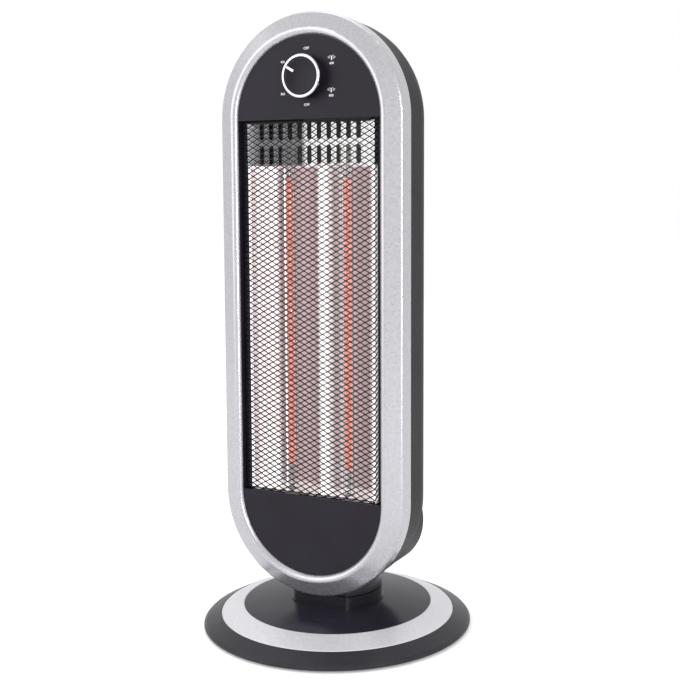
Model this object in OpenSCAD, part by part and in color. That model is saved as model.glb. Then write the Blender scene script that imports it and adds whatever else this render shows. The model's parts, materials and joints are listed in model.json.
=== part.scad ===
// Free-standing carbon heater on a round weighted base, with an oscillating head.
// X is the width, the heater faces -Y, +Z is up. The origin is on the floor, on the swivel axis.
// "fwd" is a distance in front of the swivel axis, so a point at fwd 55 lies at y = -55.

/* [Head] */
// Width of the head over the silver bezel
head_w = 197; // [185:1:210]
// Height of the head over the silver bezel
head_h = 561; // [500:1:620]
// Height of the head's centre above the floor
head_mid_z = 322; // [322:1:340]
// Clear width inside the bezel
bezel_in_w = 153; // [150:1:158]
// Front edge of the bezel, ahead of the swivel axis
bezel_front = 58.5; // [58:0.5:62]
// How far the bezel's outer edge lies behind its crest
bezel_fall = 5.8; // [4:0.2:6]
// Back edge of the bezel, ahead of the swivel axis
bezel_back = 35; // [35:0.5:40]
// Wall of the bezel
bezel_wall = 2; // [1.5:0.1:2.2]
// Back of the rear shell, behind the swivel axis
shell_back = 24; // [20:0.2:30]
// Radius of the rear shell's rounded edge
shell_round = 34; // [24:1:38]
// Wall of the rear shell
shell_wall = 2.5; // [2:0.1:3]

/* [Front panel] */
// Front of the black panel, ahead of the swivel axis
panel_front = 55; // [54.5:0.1:55.4]
// Thickness of the black panel
panel_t = 2.5; // [2:0.1:2.8]
// Width of the heating window
window_w = 152; // [151:0.5:152.4]
// Height of the heating window
window_h = 362; // [340:1:364]

/* [Guard] */
// Thickness of the expanded metal
guard_t = 1; // [0.8:0.1:1.2]
// Width of the guard
guard_w = 141; // [138:0.5:143]
// Gap above and below the guard
guard_gap = 1.5; // [1:0.1:2]
// Depth of the guard's bent-back sides
guard_depth = 10; // [8:0.5:11]
// Width of one diamond, strand to strand
diamond_w = 19.7; // [16:0.1:30]
// Height of one diamond, strand to strand
diamond_h = 13.4; // [10:0.1:20]
// Width of a strand
strand = 1.6; // [1.2:0.1:2.4]

/* [Heating] */
// Distance between the two tubes
tube_pitch = 64; // [60:1:68]
// Diameter of a quartz tube
tube_d = 11; // [10:0.5:12]
// Wall of a quartz tube
tube_wall = 1.2; // [1:0.1:1.5]
// Tube axis ahead of the swivel axis
tube_fwd = 35; // [33:0.5:38]
// Unlit length at the top of a tube
cold_top = 21; // [12:0.5:40]
// Unlit length at the bottom of a tube
cold_bottom = 34; // [12:0.5:60]
// Diameter of the carbon filament
filament_d = 5.2; // [4:0.2:6]
// Diameter of a ceramic cap
cap_d = 14; // [13.4:0.1:15]
// Thickness of the polished sheet
sheet_t = 0.8; // [0.6:0.1:1]
// Height of the slotted header plate
header_h = 44; // [42:1:48]
// Slots in each row of the header plate
slot_count = 11; // [7:1:12]
// Width of a slot
slot_w = 5; // [3.5:0.5:6]
// Length of a slot
slot_len = 18; // [14:0.5:18.5]

/* [Control] */
// Diameter of the knob over its bright ring
knob_d = 40.6; // [36:0.2:44]
// How far the knob stands out of the panel
knob_out = 12; // [11:0.5:16]
// Height of the knob's axis above the window
knob_above = 38.8; // [34:0.2:50]

/* [Base] */
// Diameter of the base
base_d = 270; // [262:1:280]
// Outer diameter of the silver ring
ring_d = 235; // [230:1:240]
// Inner diameter of the silver ring
ring_in_d = 189.6; // [180:0.2:196]
// Height of the dish under the neck
dish_top = 26; // [24:0.5:26]
// Wall of the base mouldings
base_wall = 2.5; // [2:0.1:3]
// Diameter of the cast ballast
ballast_d = 206; // [190:1:212]
// Thickness of the cast ballast
ballast_t = 9; // [6:0.5:10]
// Height of the rubber feet
foot_h = 2; // [2:0.1:3]

/* [Neck] */
// Diameter of the neck
neck_d = 90; // [86:1:94]
// Flat front of the neck, ahead of the swivel axis
neck_flat = 35; // [32:0.5:35]
// Wall of the neck
neck_wall = 3; // [2.4:0.1:3.6]
// Height of the fixed collar
collar_h = 12; // [8:0.5:12]
// Diameter of the swivel post
post_d = 28; // [24:0.5:30]
// Running clearance of the swivel, on the radius
swivel_clear = 0.06; // [0.04:0.01:0.1]

/* [Oscillation drive] */
// Motor's axis ahead of the swivel axis
crank_fwd = 22; // [20:0.5:23]
// Swivel to each side, in degrees
swing = 35; // [25:1:35]
// Diameter of the motor
motor_d = 49; // [44:1:50]
// Height of the motor
motor_h = 18; // [14:1:22]

/* [Hidden] */
$fn = 96;
eps = 0.01;
fit = 0.3;

// Head outline: a stadium, a straight part between two half circles
bezel_r = head_w / 2;
straight = head_h - head_w;
half = straight / 2;
head_top = head_mid_z + half;
head_bottom = head_mid_z - half;
bezel_in_r = bezel_in_w / 2;
crest_round = 5;
corner_round = 3.5;
crest = [bezel_in_r + crest_round, bezel_front - crest_round];
corner = [bezel_r - corner_round, bezel_front - bezel_fall - corner_round];
face_tilt = atan((crest[1] - corner[1]) / (corner[0] - crest[0]))
    + asin((crest_round - corner_round) / norm(corner - crest));
panel_r = bezel_in_r + 1.5;
panel_back = panel_front - panel_t;
flange_r = bezel_r - bezel_wall - 0.5;
flange_fwd = 47;
flange_t = 2.5;
rebate_t = 4;

shell_r = bezel_r - 1.5;
shell_front_r = bezel_r - 0.4;
shell_mid = shell_round - shell_back;
post_r = 6.5;
post_ring = flange_r - 12;
post_angle = 25;
screw_r = 1.6;
screw_head_r = 3.2;
screw_head_t = 1.4;
base_screw_len = 7;
vent_w = 72;
vent_h = 3.6;
vent_pitch = 9;
vent_count = 9;
grip_w = 84;
grip_h = 27;
grip_depth = 18;
grip_above = 22;

win_x = window_w / 2;
win_z = window_h / 2;
guard_x = guard_w / 2;
guard_z = win_z - guard_gap;
guard_lip = 3.6;
tab_w = 12;
tab_t = 1;
ledge_t = 1.5;

// Reflector: two round troughs that meet in a flat ridge
lip_fwd = 50;
ridge_fwd = 28;
ridge_half = 4.5;
trough_fwd = 8;
mouth_half = 66;
lip_half = guard_x - guard_t - 0.5;
// Centre of a circle through the mouth, the ridge and the trough's floor
a_mouth = lip_fwd - trough_fwd;
a_ridge = ridge_fwd - trough_fwd;
q2 = a_mouth / a_ridge - 1;
q1 = 2 * (mouth_half - ridge_half * a_mouth / a_ridge);
q0 = ridge_half * ridge_half * a_mouth / a_ridge - mouth_half * mouth_half
    + a_mouth * a_ridge - a_mouth * a_mouth;
trough_x = (-q1 + sqrt(q1 * q1 - 4 * q2 * q0)) / (2 * q2);
trough_r = (pow(trough_x - ridge_half, 2) + a_ridge * a_ridge) / (2 * a_ridge);
trough_c = trough_fwd + trough_r;

chamber_bottom = head_mid_z - win_z;
header_top = head_mid_z + win_z + 1;
header_bottom = header_top - header_h;
header_fwd = 51;
floor_z = chamber_bottom + 0.2;
roof_z = header_bottom - sheet_t;
shield_fwd = 4;
shield_x = guard_x + 0.9;
shield_front = flange_fwd - tab_t;

tube_x = tube_pitch / 2;
cap_len = 24;
cap_overlap = 8;
tube_bottom = floor_z - cap_overlap;
tube_top = roof_z + sheet_t + cap_overlap;
glow_low = tube_bottom + cold_bottom;
glow_high = tube_top - cold_top;
sleeve_h = 4;
cap_flange_r = cap_d / 2 + 2;
cap_flange_t = 2;
slot_row = 5.2;
slot_low = 0.9;
slot_margin = 16.5;
slot_pitch = 2 * (lip_half - slot_margin) / (slot_count - 1);

knob_z = head_mid_z + win_z + knob_above;
knob_r = knob_d / 2;
knob_back = panel_front + 0.4;
knob_face = panel_front + knob_out;
knob_ring_w = 2.6;
knob_ring_t = 2.6;
knob_turn = 60;
shaft_r = 3;
bush_r = 4.8;
nut_t = 2.2;
switch_w = 38;
switch_h = 34;
switch_d = 18;

base_r = base_d / 2;
ring_r = ring_d / 2;
ring_in_r = ring_in_d / 2;
rim_z = 3.2;
ring_z = 13.6;
ring_in_z = 21.2;
ring_t = 1.6;
seat_z = ring_in_z - base_wall - 0.1;
plate_t = 1.6;
plate_r = base_r - base_wall - 2;
plate_top = foot_h + plate_t;
foot_r = 7;
foot_ring = base_r - 20;
foot_count = 5;
boss_ring = ring_r - 12;
boss_r = 4;
boss_count = 5;
boss_turn = 36;
neck_r = neck_d / 2;
dish_fall = dish_top - ring_in_z;
dome_r = (ring_in_r * ring_in_r - neck_r * neck_r) / (2 * dish_fall);
dome_z = dish_top - sqrt(dome_r * dome_r - neck_r * neck_r);
ballast_in_r = 48;

gland_z = 6.2;
gland_r = 4;
lead_r = 3.2;
gland_in = ring_r - 3;
gland_out = base_r - 12;
gland_box_w = 14;
gland_box_top = 10.9;

switch_y = 78;
plunger_r = 4;
plunger_travel = 5;
plunger_flange_r = 6.4;
plunger_flange_t = 1.6;
plunger_flange_z = plate_top + plunger_travel + 0.4;
spring_z = plunger_flange_z + plunger_flange_t;
tip_box_z = 15.6;
tip_box_top = 19.2;
spring_wire = 0.7;
spring_turns = 3;

collar_top = dish_top + collar_h;
washer_t = 1;
neck_bottom = collar_top + washer_t;
neck_floor_t = 3;
post_out_r = post_d / 2;
post_in_r = post_out_r - 4;
bush_out_r = post_out_r + 3;
bush_top = neck_bottom + 19;
hub_r = bush_out_r + 3;
post_flange_r = 26;
post_flange_t = 2;
post_bottom = dish_top - base_wall - post_flange_t;
clip_z = bush_top + 1.8;
clip_t = 1.2;
rocker_z = bush_top + 8;
rocker_t = 2;
crank_throw = crank_fwd * sin(swing);
neck_open_z = neck_bottom + 23;

// The case's lower back slopes out to cover the neck
flare_angle = 32;
flare_top = head_bottom + 1;
flare_low = -shell_mid + flare_top * tan(flare_angle);
flare_gap = 0.4;
flare_step = 0.8;

pin_r = 2;
crank_pin_gap = 0.3;
crank_z = rocker_z + rocker_t + 4;
crank_t = 3;
crank_r = 16;
bracket_z = crank_z + crank_t + 2.5;
bracket_t = 1.5;
motor_z = bracket_z + bracket_t;
motor_screw_x = 18;
pillar_x = 20;
pillar_y = 20.5;
pillar_r = 4;

// Sweeps a profile of (distance from the spine, fwd) round the head's stadium
module round_head() {
    translate([0, 0, head_top]) rotate([90, 0, 0]) rotate_extrude(angle = 180) children();
    translate([0, 0, head_bottom]) rotate([0, 180, 0]) rotate([90, 0, 0])
        rotate_extrude(angle = 180) children();
    for (side = [0, 1])
        mirror([side, 0, 0]) translate([0, 0, head_bottom]) mirror([0, 1, 0])
            linear_extrude(height = straight) children();
}

// Extrudes an outline drawn in (x, z) between two fwd distances
module slab(back, front) {
    translate([0, -back, 0]) rotate([90, 0, 0]) linear_extrude(height = front - back) children();
}

// A bar along Y at (x, z)
module bar(x, z, r, back, front) {
    slab(back, front) translate([x, z]) circle(r);
}

// A block between two corners given as [x, fwd, z]
module block(low, high) {
    translate([low[0], -high[1], low[2]])
        cube([high[0] - low[0], high[1] - low[1], high[2] - low[2]]);
}

module ring(r_out, r_in, z, h) {
    translate([0, 0, z]) difference() {
        cylinder(r = r_out, h = h);
        translate([0, 0, -1]) cylinder(r = r_in, h = h + 2);
    }
}

// The neck's outline: a circle with a flat front
module neck_outline(r, flat) {
    intersection() {
        circle(r);
        translate([-r, -flat]) square([2 * r, flat + r + 1]);
    }
}

module round_slot(w, h) {
    square([w - h, h], center = true);
    for (s = [-1, 1]) translate([s * (w - h) / 2, 0]) circle(d = h);
}

// Places of the six long screws that hold the case
function case_points() = [
    for (s = [-1, 1], e = [-1, 0, 1])
        [s * post_ring * (e == 0 ? 1 : cos(post_angle)),
         head_mid_z + e * (half + post_ring * sin(post_angle))]
];

// Base

module base_plate() {
    color("#3b3b3e") difference() {
        translate([0, 0, foot_h]) cylinder(r = plate_r, h = plate_t);
        translate([0, switch_y, 0]) cylinder(r = plunger_r + fit, h = plate_top + 1);
        for (i = [0 : boss_count - 1])
            rotate([0, 0, boss_turn + i * 360 / boss_count]) translate([boss_ring, 0, 0])
                cylinder(r = screw_r + 0.2, h = plate_top + 1);
        for (i = [0 : 5])
            rotate([0, 0, 30 + i * 60]) translate([36, 0, 0]) cylinder(r = 5, h = plate_top + 1);
        block([-gland_box_w / 2, -plate_r - 1, 0], [gland_box_w / 2, -gland_in + 8, plate_top + 1]);
    }
}

module skirt_profile() {
    polygon([
        [ring_r + 0.2, ring_z], [base_r - 2.4, rim_z + 3.4], [base_r, rim_z + 0.8],
        [base_r, rim_z - 0.6], [base_r - 0.8, foot_h], [base_r - base_wall, foot_h],
        [base_r - base_wall, rim_z + 1], [base_r - 4.2, rim_z + 2.2],
        [ring_r + 0.2, ring_z - base_wall], [ring_in_r, ring_in_z - ring_t - base_wall],
        [ring_in_r - 6, ring_in_z - 2 * base_wall], [ring_in_r - 6, seat_z],
        [ring_in_r, seat_z], [ring_in_r, ring_in_z - ring_t],
        [ring_r + 0.2, ring_z - ring_t]
    ]);
}

module base_skirt() {
    color("#4a4a4e") difference() {
        union() {
            rotate_extrude() skirt_profile();
            for (i = [0 : boss_count - 1])
                rotate([0, 0, boss_turn + i * 360 / boss_count])
                    translate([boss_ring, 0, plate_top])
                        cylinder(r = boss_r, h = ring_z - plate_top);
            block([-gland_box_w / 2, -gland_out, rim_z - 0.6],
                  [gland_box_w / 2, -gland_in, gland_box_top]);
        }
        for (i = [0 : boss_count - 1])
            rotate([0, 0, boss_turn + i * 360 / boss_count]) translate([boss_ring, 0, plate_top - 1])
                cylinder(r = screw_r, h = 8);
        translate([0, gland_in - 1, gland_z]) rotate([-90, 0, 0])
            cylinder(r = gland_r, h = base_r - gland_in + 2);
        translate([0, gland_out, gland_z]) rotate([-90, 0, 0]) cylinder(r = gland_r + 0.8, h = 15);
    }
}

module base_ring() {
    color("#c9cacd") rotate_extrude() polygon([
        [ring_in_r, ring_in_z], [ring_in_r + 1, ring_in_z + 0.3], [ring_r - 0.8, ring_z + 0.4],
        [ring_r, ring_z - 0.4], [ring_r, ring_z - ring_t + 0.1],
        [ring_in_r, ring_in_z - ring_t + 0.1]
    ]);
}

module base_dish() {
    color("#17171a") difference() {
        rotate_extrude() intersection() {
            difference() {
                translate([0, dome_z]) circle(dome_r, $fn = 1200);
                translate([0, dome_z]) circle(dome_r - base_wall, $fn = 1200);
            }
            square([ring_in_r - 0.2, dish_top]);
        }
        translate([0, 0, dish_top - 2 * base_wall]) cylinder(r = post_out_r + 0.1, h = 20);
        for (i = [0 : 3]) rotate([0, 0, 45 + i * 90]) translate([post_flange_r - 5, 0, 0])
            cylinder(r = 2.2, h = 40);
    }
}

module ballast() {
    color("#55565a") difference() {
        ring(ballast_d / 2, ballast_in_r, plate_top, ballast_t);
        translate([-19.5, 0, 0]) cube([39, base_r, 40]);
        for (i = [0 : boss_count - 1])
            rotate([0, 0, boss_turn + i * 360 / boss_count]) translate([boss_ring, 0, 0])
                cylinder(r = boss_r + 1.5, h = 40);
    }
}

module rubber_feet() {
    color("#1c1c1c") for (i = [0 : foot_count - 1])
        rotate([0, 0, i * 360 / foot_count - 90]) translate([foot_ring, 0, 0]) {
            cylinder(r1 = foot_r - 0.8, r2 = foot_r, h = foot_h);
        }
}

module base_screws() {
    color("#9a9ba0") for (i = [0 : boss_count - 1])
        rotate([0, 0, boss_turn + i * 360 / boss_count]) translate([boss_ring, 0, 0]) {
            translate([0, 0, foot_h - screw_head_t]) cylinder(r = screw_head_r, h = screw_head_t);
            translate([0, 0, foot_h]) cylinder(r = screw_r, h = base_screw_len);
        }
}

module cord_gland() {
    color("#202022") translate([0, gland_in, gland_z]) rotate([-90, 0, 0]) difference() {
        union() {
            cylinder(r = gland_r, h = gland_out - gland_in);
            translate([0, 0, gland_out - gland_in]) cylinder(r = gland_r + 0.7, h = 1.4);
        }
        translate([0, 0, -3]) cylinder(r = lead_r, h = 40);
    }
}

module tip_switch() {
    color("#2c2c30") difference() {
        block([-13, -switch_y - 7, tip_box_z], [13, -switch_y + 7, tip_box_top]);
        translate([0, switch_y, tip_box_z - 1]) cylinder(r = 2.2, h = 5.2);
    }
    color("#c9c9c0") for (s = [-1, 1])
        translate([s * 15.5, switch_y, plate_top]) cylinder(r = 2.6, h = tip_box_top - plate_top);
    color("#2c2c30") for (s = [-1, 1])
        block([s > 0 ? 13 : -18, -switch_y - 4, tip_box_top - 2],
              [s > 0 ? 18 : -13, -switch_y + 4, tip_box_top]);
}

module tip_plunger() {
    color("#e8e6dc") translate([0, switch_y, 0]) {
        cylinder(r1 = plunger_r - 1, r2 = plunger_r, h = 1);
        translate([0, 0, 1]) cylinder(r = plunger_r, h = plunger_flange_z - 1);
        translate([0, 0, plunger_flange_z]) cylinder(r = plunger_flange_r, h = plunger_flange_t);
        translate([0, 0, spring_z]) cylinder(r = 1.9, h = tip_box_z + 3.6 - spring_z);
    }
}

// A coil from one height to another, as one tube with six sides
module coil(r, wire, z0, z1, turns) {
    steps = turns * 16;
    sides = 6;
    pts = [for (i = [0 : steps], k = [0 : sides - 1])
        let (a = 360 * turns * i / steps, b = 360 * k / sides, q = r + wire / 2 * cos(b))
            [q * cos(a), q * sin(a),
             z0 + wire / 2 + (z1 - z0 - wire) * i / steps + wire / 2 * sin(b)]];
    quads = [for (i = [0 : steps - 1], k = [0 : sides - 1])
        let (n = (k + 1) % sides)
            [[i * sides + k, i * sides + n, (i + 1) * sides + n],
             [i * sides + k, (i + 1) * sides + n, (i + 1) * sides + k]]];
    walls = [for (q = quads, f = q) f];
    ends = concat([for (k = [1 : sides - 2]) [0, k + 1, k]],
                  [for (k = [1 : sides - 2])
                      [steps * sides, steps * sides + k, steps * sides + k + 1]]);
    polyhedron(points = pts, faces = concat([for (f = walls) [f[0], f[2], f[1]]],
               [for (f = ends) [f[0], f[2], f[1]]]), convexity = 4);
}

module plunger_spring() {
    color("#b9bbbf") translate([0, switch_y, 0])
        coil(3.4, spring_wire, spring_z + 0.05, tip_box_z - 0.05, spring_turns);
}

// Neck and swivel

module neck_collar() {
    color("#1b1b1e") difference() {
        union() {
            difference() {
                union() {
                    translate([0, 0, dish_top]) linear_extrude(height = collar_h)
                        neck_outline(neck_r, neck_flat);
                    translate([0, 0, dish_top]) linear_extrude(height = 1.4)
                        neck_outline(neck_r + 1.8, neck_flat + 1.8);
                }
                translate([0, 0, dish_top + neck_floor_t]) linear_extrude(height = collar_h)
                    neck_outline(neck_r - neck_wall, neck_flat - neck_wall);
            }
            translate([0, 0, dish_top]) cylinder(r = post_out_r + 4, h = collar_h);
            for (i = [0 : 3]) rotate([0, 0, 45 + i * 90]) translate([post_flange_r - 5, 0, dish_top])
                cylinder(r = 4.4, h = collar_h - 2);
            for (i = [0 : 7]) rotate([0, 0, i * 45]) translate([post_out_r + 2, -0.9, dish_top])
                cube([neck_flat - neck_wall - post_out_r - 1.5, 1.8, collar_h - 1.5]);
        }
        translate([0, 0, dish_top - 1]) cylinder(r = post_out_r + 0.1, h = 40);
        for (i = [0 : 3]) rotate([0, 0, 45 + i * 90]) translate([post_flange_r - 5, 0, dish_top - 1])
            cylinder(r = 1.8, h = collar_h - 3);
    }
}

module swivel_post() {
    color("#a9abb0") difference() {
        union() {
            translate([0, 0, post_bottom]) cylinder(r = post_flange_r, h = post_flange_t);
            translate([0, 0, post_bottom]) cylinder(r = post_out_r, h = rocker_z - post_bottom);
        }
        translate([0, 0, post_bottom - 1]) cylinder(r = post_in_r, h = rocker_z);
        ring(post_out_r + 2, post_out_r - 1.6, clip_z, clip_t);
        for (i = [0 : 3]) rotate([0, 0, 45 + i * 90]) translate([post_flange_r - 5, 0, 0])
            cylinder(r = 2.2, h = 40);
    }
}

module post_screws() {
    color("#9a9ba0") for (i = [0 : 3]) rotate([0, 0, 45 + i * 90])
        translate([post_flange_r - 5, 0, post_bottom]) {
            translate([0, 0, -2.4]) cylinder(r = 3.6, h = 2.4);
            cylinder(r = 1.8, h = 12);
        }
}

module thrust_washer() {
    color("#d9d8d0") ring(neck_flat - 1, bush_out_r + 1, collar_top, washer_t);
}

module retaining_washer() {
    color("#b4b6ba") ring(hub_r, post_out_r + fit, bush_top, clip_z - bush_top);
}

module retaining_clip() {
    color("#6d6f74") difference() {
        ring(post_out_r + 2.4, post_out_r - 1.5, clip_z, clip_t);
        rotate([0, 0, 60]) translate([0, -5, clip_z - 1]) cube([40, 10, 4]);
    }
}

// A slotted arm on the fixed post: the motor's crank pin walks along its slot
module rocker_plate() {
    slot_in = crank_fwd - crank_throw;
    slot_out = crank_fwd + crank_throw;
    color("#a9abb0") difference() {
        union() {
            translate([0, 0, rocker_z]) cylinder(r = post_out_r + 1, h = rocker_t);
            translate([-pin_r - 4, -slot_out, rocker_z]) cube([2 * pin_r + 8, slot_out, rocker_t]);
            translate([0, -slot_out, rocker_z]) cylinder(r = pin_r + 4, h = rocker_t);
            for (a = [30, 90, 150]) rotate([0, 0, a]) translate([post_out_r - 2, 0, rocker_z])
                cylinder(r = 1.8, h = rocker_t + 0.8);
        }
        translate([0, 0, rocker_z - 1]) cylinder(r = 5, h = 10);
        for (r = [slot_in, slot_out]) translate([0, -r, rocker_z - 1])
            cylinder(r = pin_r + 0.2, h = 10);
        translate([-pin_r - 0.2, -slot_out, rocker_z - 1])
            cube([2 * pin_r + 0.4, slot_out - slot_in, 10]);
    }
}

// Everything in front of the case's sloping lower back, an inset inside its surface
module flare_room(inset) {
    shift = inset / cos(flare_angle);
    rise = bezel_front + flare_low - shift;
    rotate([90, 0, 90]) translate([0, 0, -bezel_r]) linear_extrude(height = head_w)
        polygon([[-bezel_front, 0], [flare_low - shift, 0], [-bezel_front, rise / tan(flare_angle)]]);
}

module flare(inset) {
    intersection() {
        slab(-flare_low, shell_mid + 5) translate([0, head_bottom]) circle(shell_r - flare_step - inset);
        flare_room(inset);
    }
}

module neck_solid(inset, low, high) {
    intersection() {
        translate([0, 0, low]) linear_extrude(height = high - low)
            neck_outline(neck_r - inset, neck_flat - inset);
        flare_room(shell_wall + flare_gap + inset);
    }
}

module neck_housing() {
    color("#1b1b1e") difference() {
        union() {
            difference() {
                neck_solid(0, neck_bottom, neck_open_z);
                neck_solid(neck_wall, neck_bottom + neck_floor_t, neck_open_z + 1);
            }
            translate([0, 0, neck_bottom]) cylinder(r = hub_r, h = bush_top - neck_bottom);
            for (s = [-1, 1]) translate([s * pillar_x, pillar_y, neck_bottom])
                cylinder(r = pillar_r, h = bracket_z - neck_bottom);
            for (a = [35, 90, 145, 0, 180]) rotate([0, 0, a])
                translate([hub_r - 1, -1, neck_bottom]) cube([neck_flat - neck_wall - hub_r + 1.5, 2, 12]);
        }
        translate([0, 0, neck_bottom - 1]) cylinder(r = bush_out_r, h = 60);
        for (s = [-1, 1]) translate([s * pillar_x, pillar_y, bracket_z - 10])
            cylinder(r = screw_r, h = 20);
    }
}

module swivel_bush() {
    color("#b08d4a") ring(bush_out_r, post_out_r + swivel_clear, neck_bottom, bush_top - neck_bottom);
}

module motor_bracket() {
    color("#b4b6ba") difference() {
        translate([0, 0, bracket_z]) linear_extrude(height = bracket_t) difference() {
            union() {
                translate([-pillar_x - 4, -crank_fwd]) square([2 * pillar_x + 8, pillar_y + crank_fwd + 4]);
                translate([0, -crank_fwd]) circle(motor_d / 2 + 0.5);
            }
            for (s = [-1, 1]) translate([s * pillar_x, pillar_y]) circle(screw_r + 0.2);
            translate([0, -crank_fwd]) circle(9);
            for (s = [-1, 1]) translate([s * motor_screw_x, -crank_fwd]) circle(screw_r);
            translate([0, pillar_y - 10]) circle(6);
        }
    }
}

module oscillation_motor() {
    color("#8d9096") difference() {
        union() {
            translate([0, -crank_fwd, motor_z]) cylinder(r = motor_d / 2, h = motor_h);
            translate([0, -crank_fwd, bracket_z]) cylinder(r = 8.6, h = bracket_t + 1);
            translate([-6, -crank_fwd + motor_d / 2 - 3, motor_z + 2])
                cube([12, 8, motor_h - 6]);
        }
        translate([0, -crank_fwd, bracket_z - 1]) cylinder(r = shaft_r + 0.06, h = 10);
        for (s = [-1, 1]) translate([s * motor_screw_x, -crank_fwd, motor_z - 1])
            cylinder(r = screw_r, h = 5);
    }
}

module motor_screws() {
    color("#9a9ba0") {
        for (s = [-1, 1]) translate([s * motor_screw_x, -crank_fwd, bracket_z]) {
            translate([0, 0, -1.6]) cylinder(r = 2.8, h = 1.6);
            cylinder(r = screw_r, h = bracket_t + 4);
        }
        for (s = [-1, 1]) translate([s * pillar_x, pillar_y, bracket_z + bracket_t]) {
            cylinder(r = 3, h = 2);
            translate([0, 0, -bracket_t - 8]) cylinder(r = screw_r, h = bracket_t + 8);
        }
    }
}

module crank() {
    color("#e8e6dc") translate([0, -crank_fwd, 0]) {
        translate([0, 0, crank_z]) cylinder(r = crank_r, h = crank_t);
        translate([0, -crank_throw, rocker_z + rocker_t + crank_pin_gap])
            cylinder(r = pin_r, h = crank_z - rocker_z - rocker_t - crank_pin_gap);
        translate([0, 0, crank_z]) cylinder(r = shaft_r, h = bracket_z - crank_z + 8);
        translate([0, 0, crank_z + crank_t]) cylinder(r = 5.5, h = 1.6);
    }
}

// Case

module shell_profile(inset) {
    r = shell_round - inset;
    intersection() {
        translate([shell_r - shell_round, shell_mid]) circle(r);
        translate([0, -shell_back - 1]) square([shell_r + 1, shell_back + 1 + shell_mid]);
    }
    translate([0, -shell_back + inset])
        square([shell_r - shell_round, shell_mid + shell_back - inset]);
    polygon([[0, shell_mid], [shell_r - inset, shell_mid],
             [shell_front_r - inset, bezel_back + (inset > 0 ? 20 : 0)],
             [0, bezel_back + (inset > 0 ? 20 : 0)]]);
}

module shell_inner() {
    round_head() intersection() {
        shell_profile(shell_wall);
        translate([0, -shell_back]) square([bezel_r, bezel_back + shell_back + 8]);
    }
}

module shell_skin() {
    round_head() difference() {
        union() {
            shell_profile(0);
            translate([bezel_r - bezel_wall - 2.3, bezel_back - 1]) square([1.8, rebate_t + 1]);
        }
        shell_profile(shell_wall);
    }
}

module grip_outline(grow) {
    translate([0, head_top + grip_above]) round_slot(grip_w + 2 * grow, grip_h + 2 * grow);
}

module vents(z) {
    slab(-shell_back - 1, -shell_back + shell_wall + 1)
        for (i = [0 : vent_count - 1])
            translate([0, z + (i - (vent_count - 1) / 2) * vent_pitch]) round_slot(vent_w, vent_h);
}

module rear_shell() {
    color("#1e1e21") difference() {
        union() {
            difference() {
                union() {
                    shell_skin();
                    flare(0);
                }
                flare(shell_wall);
                shell_inner();
            }
            slab(-shell_back + 1, -shell_back + grip_depth + shell_wall) grip_outline(shell_wall);
            intersection() {
                round_head() shell_profile(0.5);
                for (p = case_points()) bar(p[0], p[1], post_r, -shell_back, flange_fwd);
            }
        }
        slab(-shell_back - 1, -shell_back + grip_depth) grip_outline(0);
        vents(head_mid_z + half * 0.5);
        vents(head_mid_z - half * 0.5);
        for (p = case_points()) {
            bar(p[0], p[1], screw_r + 0.2, -30, 60);
            bar(p[0], p[1], screw_head_r + 1, -40, -2);
        }
        neck_solid(-0.1, head_bottom - bezel_r - 10, neck_open_z);
    }
}

module case_screws() {
    color("#9a9ba0") for (p = case_points()) {
        bar(p[0], p[1], screw_head_r, -4.2, -2);
        bar(p[0], p[1], screw_r, -2, flange_fwd + flange_t);
    }
}

module window() {
    translate([-win_x, head_mid_z - win_z]) square([window_w, window_h]);
}

// Black panel: its window leaves a dark ledge beside the guard
module front_panel() {
    color("#2b2a2e") difference() {
        union() {
            slab(panel_back, panel_front) stadium(panel_r);
            round_head() {
                translate([panel_r - 2.4, flange_fwd]) square([2.4, panel_back - flange_fwd]);
                translate([panel_r - 1, flange_fwd]) square([flange_r - panel_r + 1, flange_t]);
            }
            slab(flange_fwd, flange_fwd + ledge_t) intersection() {
                stadium(panel_r - 1);
                window();
            }
        }
        slab(flange_fwd + ledge_t, panel_front + 1) window();
        slab(flange_fwd - 1, panel_front + 1)
            translate([-guard_x - 0.5, head_mid_z - win_z]) square([guard_w + 1, window_h]);
        bar(0, knob_z, bush_r + 0.1, panel_back - 1, panel_front + 1);
        for (p = case_points()) bar(p[0], p[1], screw_r, flange_fwd - 1, flange_fwd + flange_t + 1);
    }
}

module stadium(r) {
    for (z = [head_bottom, head_top]) translate([0, z]) circle(r);
    translate([-r, head_bottom]) square([2 * r, straight]);
}

// Bezel: a round inner lip, a sloping face, a round outer edge and a side band
module bezel_shape(inset, back) {
    a = crest_round - inset;
    b = corner_round - inset;
    lean = [sin(face_tilt), cos(face_tilt)];
    translate(crest) circle(a, $fn = 64);
    translate(corner) circle(b, $fn = 64);
    polygon([
        crest + a * lean, corner + b * lean, [bezel_r - inset, corner[1]], [bezel_r - inset, back],
        [bezel_in_r + inset, back], [bezel_in_r + inset, crest[1]]
    ]);
}

module front_bezel() {
    color("#c9cacd") round_head() difference() {
        bezel_shape(0, bezel_back);
        bezel_shape(bezel_wall, bezel_back - 1);
        square([crest[0], panel_front]);
    }
}

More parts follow.
